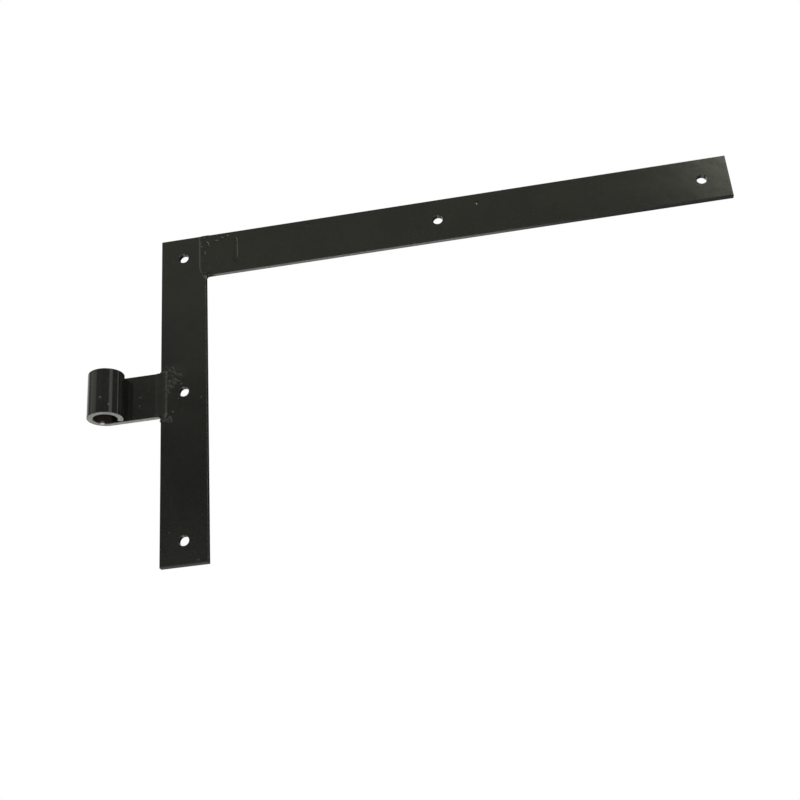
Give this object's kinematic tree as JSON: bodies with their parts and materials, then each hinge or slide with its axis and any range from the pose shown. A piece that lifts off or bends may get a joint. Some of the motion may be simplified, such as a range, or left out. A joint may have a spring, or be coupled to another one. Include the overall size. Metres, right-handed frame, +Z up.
{
  "type": "angle strap hinge",
  "caption": "Black angle strap hinge: an upright and an arm of flat bar welded into an L, with a short welded strap rolled into an eye that hangs a shutter on a pintle.",
  "frame": {"origin": "on the pin axis of the rolled eye, halfway up the eye, which is also the middle of the upright", "axes": "+Z up along the pin axis and the upright, +X from the eye towards the free end of the arm, +Y towards the shutter, so the flat back faces +Y and the eye stands out towards -Y"},
  "size_m": [0.4142, 0.0225, 0.224],
  "materials": {
    "bar_paint": "satin black paint over hot-rolled flat bar",
    "weld_paint": "satin black paint over a weld bead"
  },
  "bodies": {
    "root": {"upright_bar": "bar_paint", "arm_bar": "bar_paint", "eye_strap": "bar_paint", "arm_weld": "weld_paint", "eye_weld": "weld_paint"}
  },
  "joints": []
}
